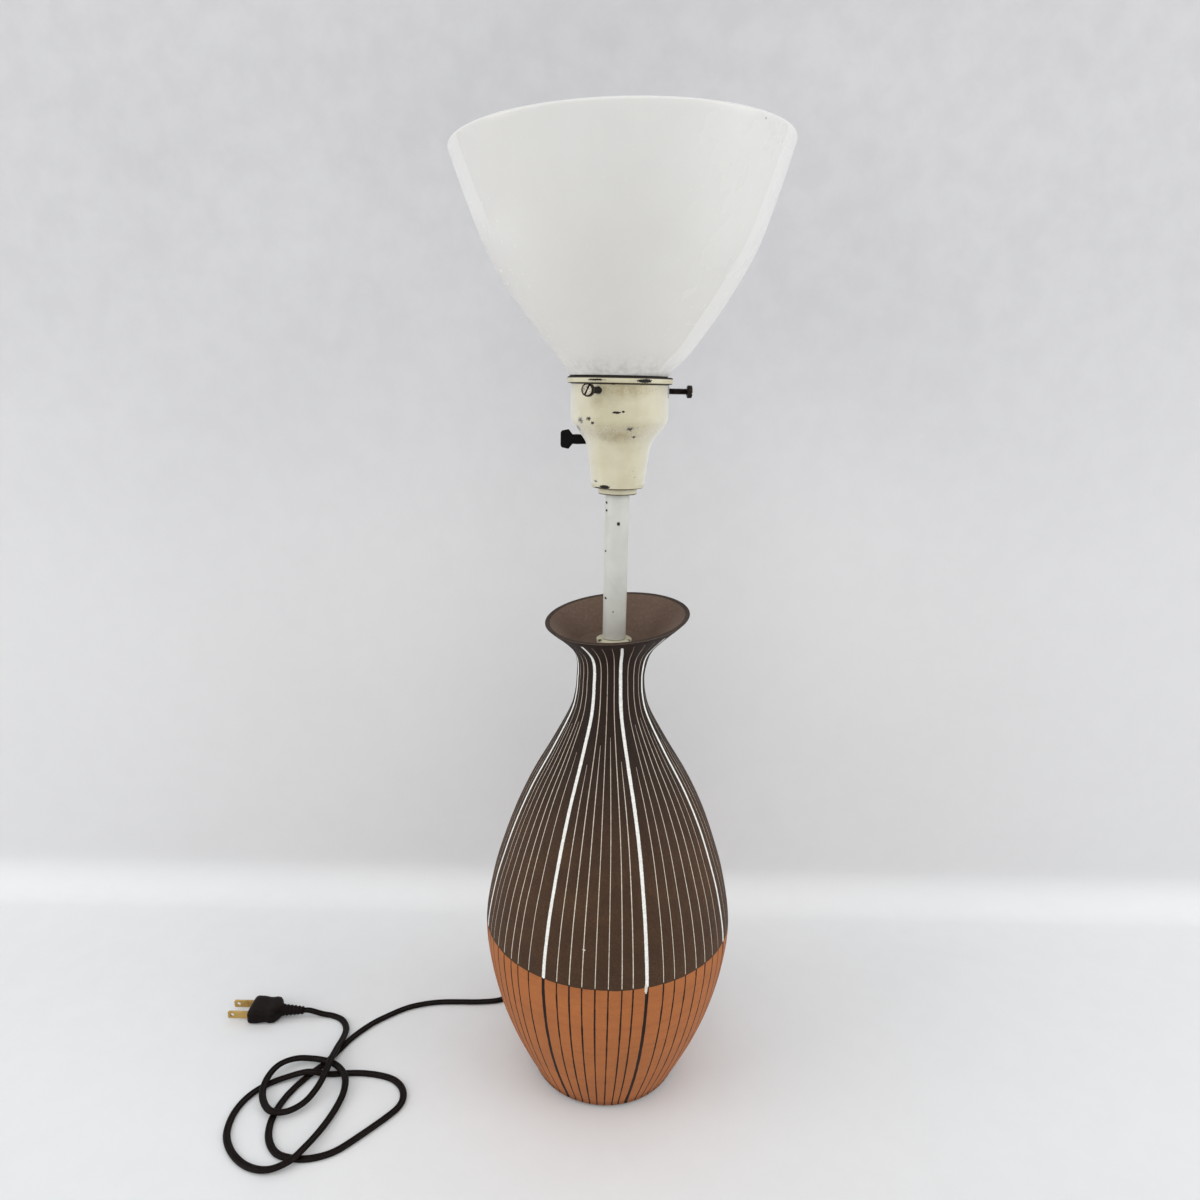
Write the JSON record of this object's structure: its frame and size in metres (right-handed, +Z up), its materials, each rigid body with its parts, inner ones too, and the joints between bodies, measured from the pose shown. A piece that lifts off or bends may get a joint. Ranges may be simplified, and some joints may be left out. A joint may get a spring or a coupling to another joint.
{
  "type": "table lamp",
  "caption": "Ceramic table lamp: tall vase body with sgraffito lines, painted stem and fitter cup, turn-knob socket and upward opal glass reflector bowl, on a two-wire cord.",
  "frame": {"origin": "centre of the foot on the table top, on the lamp's axis", "axes": "+Z up along the stem; -Y is the lamp's front; the switch knob points along -X; the cord leaves the foot along +Y"},
  "size_m": [0.4056, 0.2616, 0.6393],
  "materials": {
    "brown_slip_and_orange_clay": "matte brown slip with inlaid white lines over bare orange clay with dark lines",
    "green_felt": "felt",
    "plated_steel": "zinc-plated steel",
    "worn_steel": "worn bare steel, darker shank",
    "cream_paint": "semi-gloss cream enamel, chipped at edges",
    "off_white_paint": "semi-gloss off-white enamel",
    "opal_glass": null,
    "brass": "plain brass",
    "fibre_board": "insulating fibre board",
    "black_phenolic": "black moulded phenolic",
    "solder": "solder-covered contact",
    "aluminium": "rolled thread",
    "frosted_glass": "frosted white glass",
    "black_rubber": "moulded rubber",
    "brown_vinyl": "brown flexible vinyl",
    "copper": "stranded copper",
    "tie_strap": "black plastic strap"
  },
  "bodies": {
    "lamp": {"ceramic_body": "brown_slip_and_orange_clay", "felt_pad": "green_felt", "threaded_pipe": "plated_steel", "base_washer": "plated_steel", "base_lock_washer": "plated_steel", "base_hex_nut": "plated_steel", "lower_check_ring": "cream_paint", "cover_tube": "off_white_paint", "upper_check_ring": "cream_paint", "fitter_cup": "cream_paint", "socket_cap": "brass", "socket_set_screw": "plated_steel", "socket_shell": "brass", "insulating_liner": "fibre_board", "switch_block": "black_phenolic", "centre_contact": "brass", "screw_shell": "brass", "hot_terminal_screw": "brass", "neutral_terminal_screw": "plated_steel", "cord_bushing": "black_rubber", "inner_cord": "brown_vinyl", "hot_conductor": "copper", "neutral_conductor": "copper", "cord_lead": "brown_vinyl", "cord_coil": "brown_vinyl", "cord_run": "brown_vinyl", "cord_tie": "tie_strap", "plug_body": "brown_vinyl", "plug_blade_1": "brass", "plug_blade_2": "brass"},
    "glass": {"glass_bowl": "opal_glass"},
    "bulb": {"bulb_tip": "solder", "bulb_base": "aluminium", "bulb_glass": "frosted_glass"},
    "knob": {"switch_spindle": "brass", "turn_knob": "black_phenolic"},
    "screw_1": {"thumb_screw_1": "worn_steel"},
    "screw_2": {"thumb_screw_2": "worn_steel"},
    "screw_3": {"thumb_screw_3": "worn_steel"}
  },
  "joints": [
    {"name": "knob_turn", "type": "hinge", "parent": "lamp", "child": "knob", "pos_m": [0, 0, 0.4699], "axis": [1, 0, 0], "continuous": true},
    {"name": "glass_lift", "type": "slide", "parent": "lamp", "child": "glass", "axis": [0, 0, 1], "range_m": [0, 0.115]},
    {"name": "bulb_unscrew", "type": "slide", "parent": "lamp", "child": "bulb", "axis": [0, 0, 1], "range_m": [0, 0.03]},
    {"name": "thumb_screw_1_back_out", "type": "slide", "parent": "lamp", "child": "screw_1", "axis": [0.9976, 0.0698, 0], "range_m": [0, 0.0019]},
    {"name": "thumb_screw_2_back_out", "type": "slide", "parent": "lamp", "child": "screw_2", "axis": [-0.4384, -0.8988, 0], "range_m": [0, 0.0019]},
    {"name": "thumb_screw_3_back_out", "type": "slide", "parent": "lamp", "child": "screw_3", "axis": [-0.5592, 0.829, 0], "range_m": [0, 0.0019]}
  ]
}
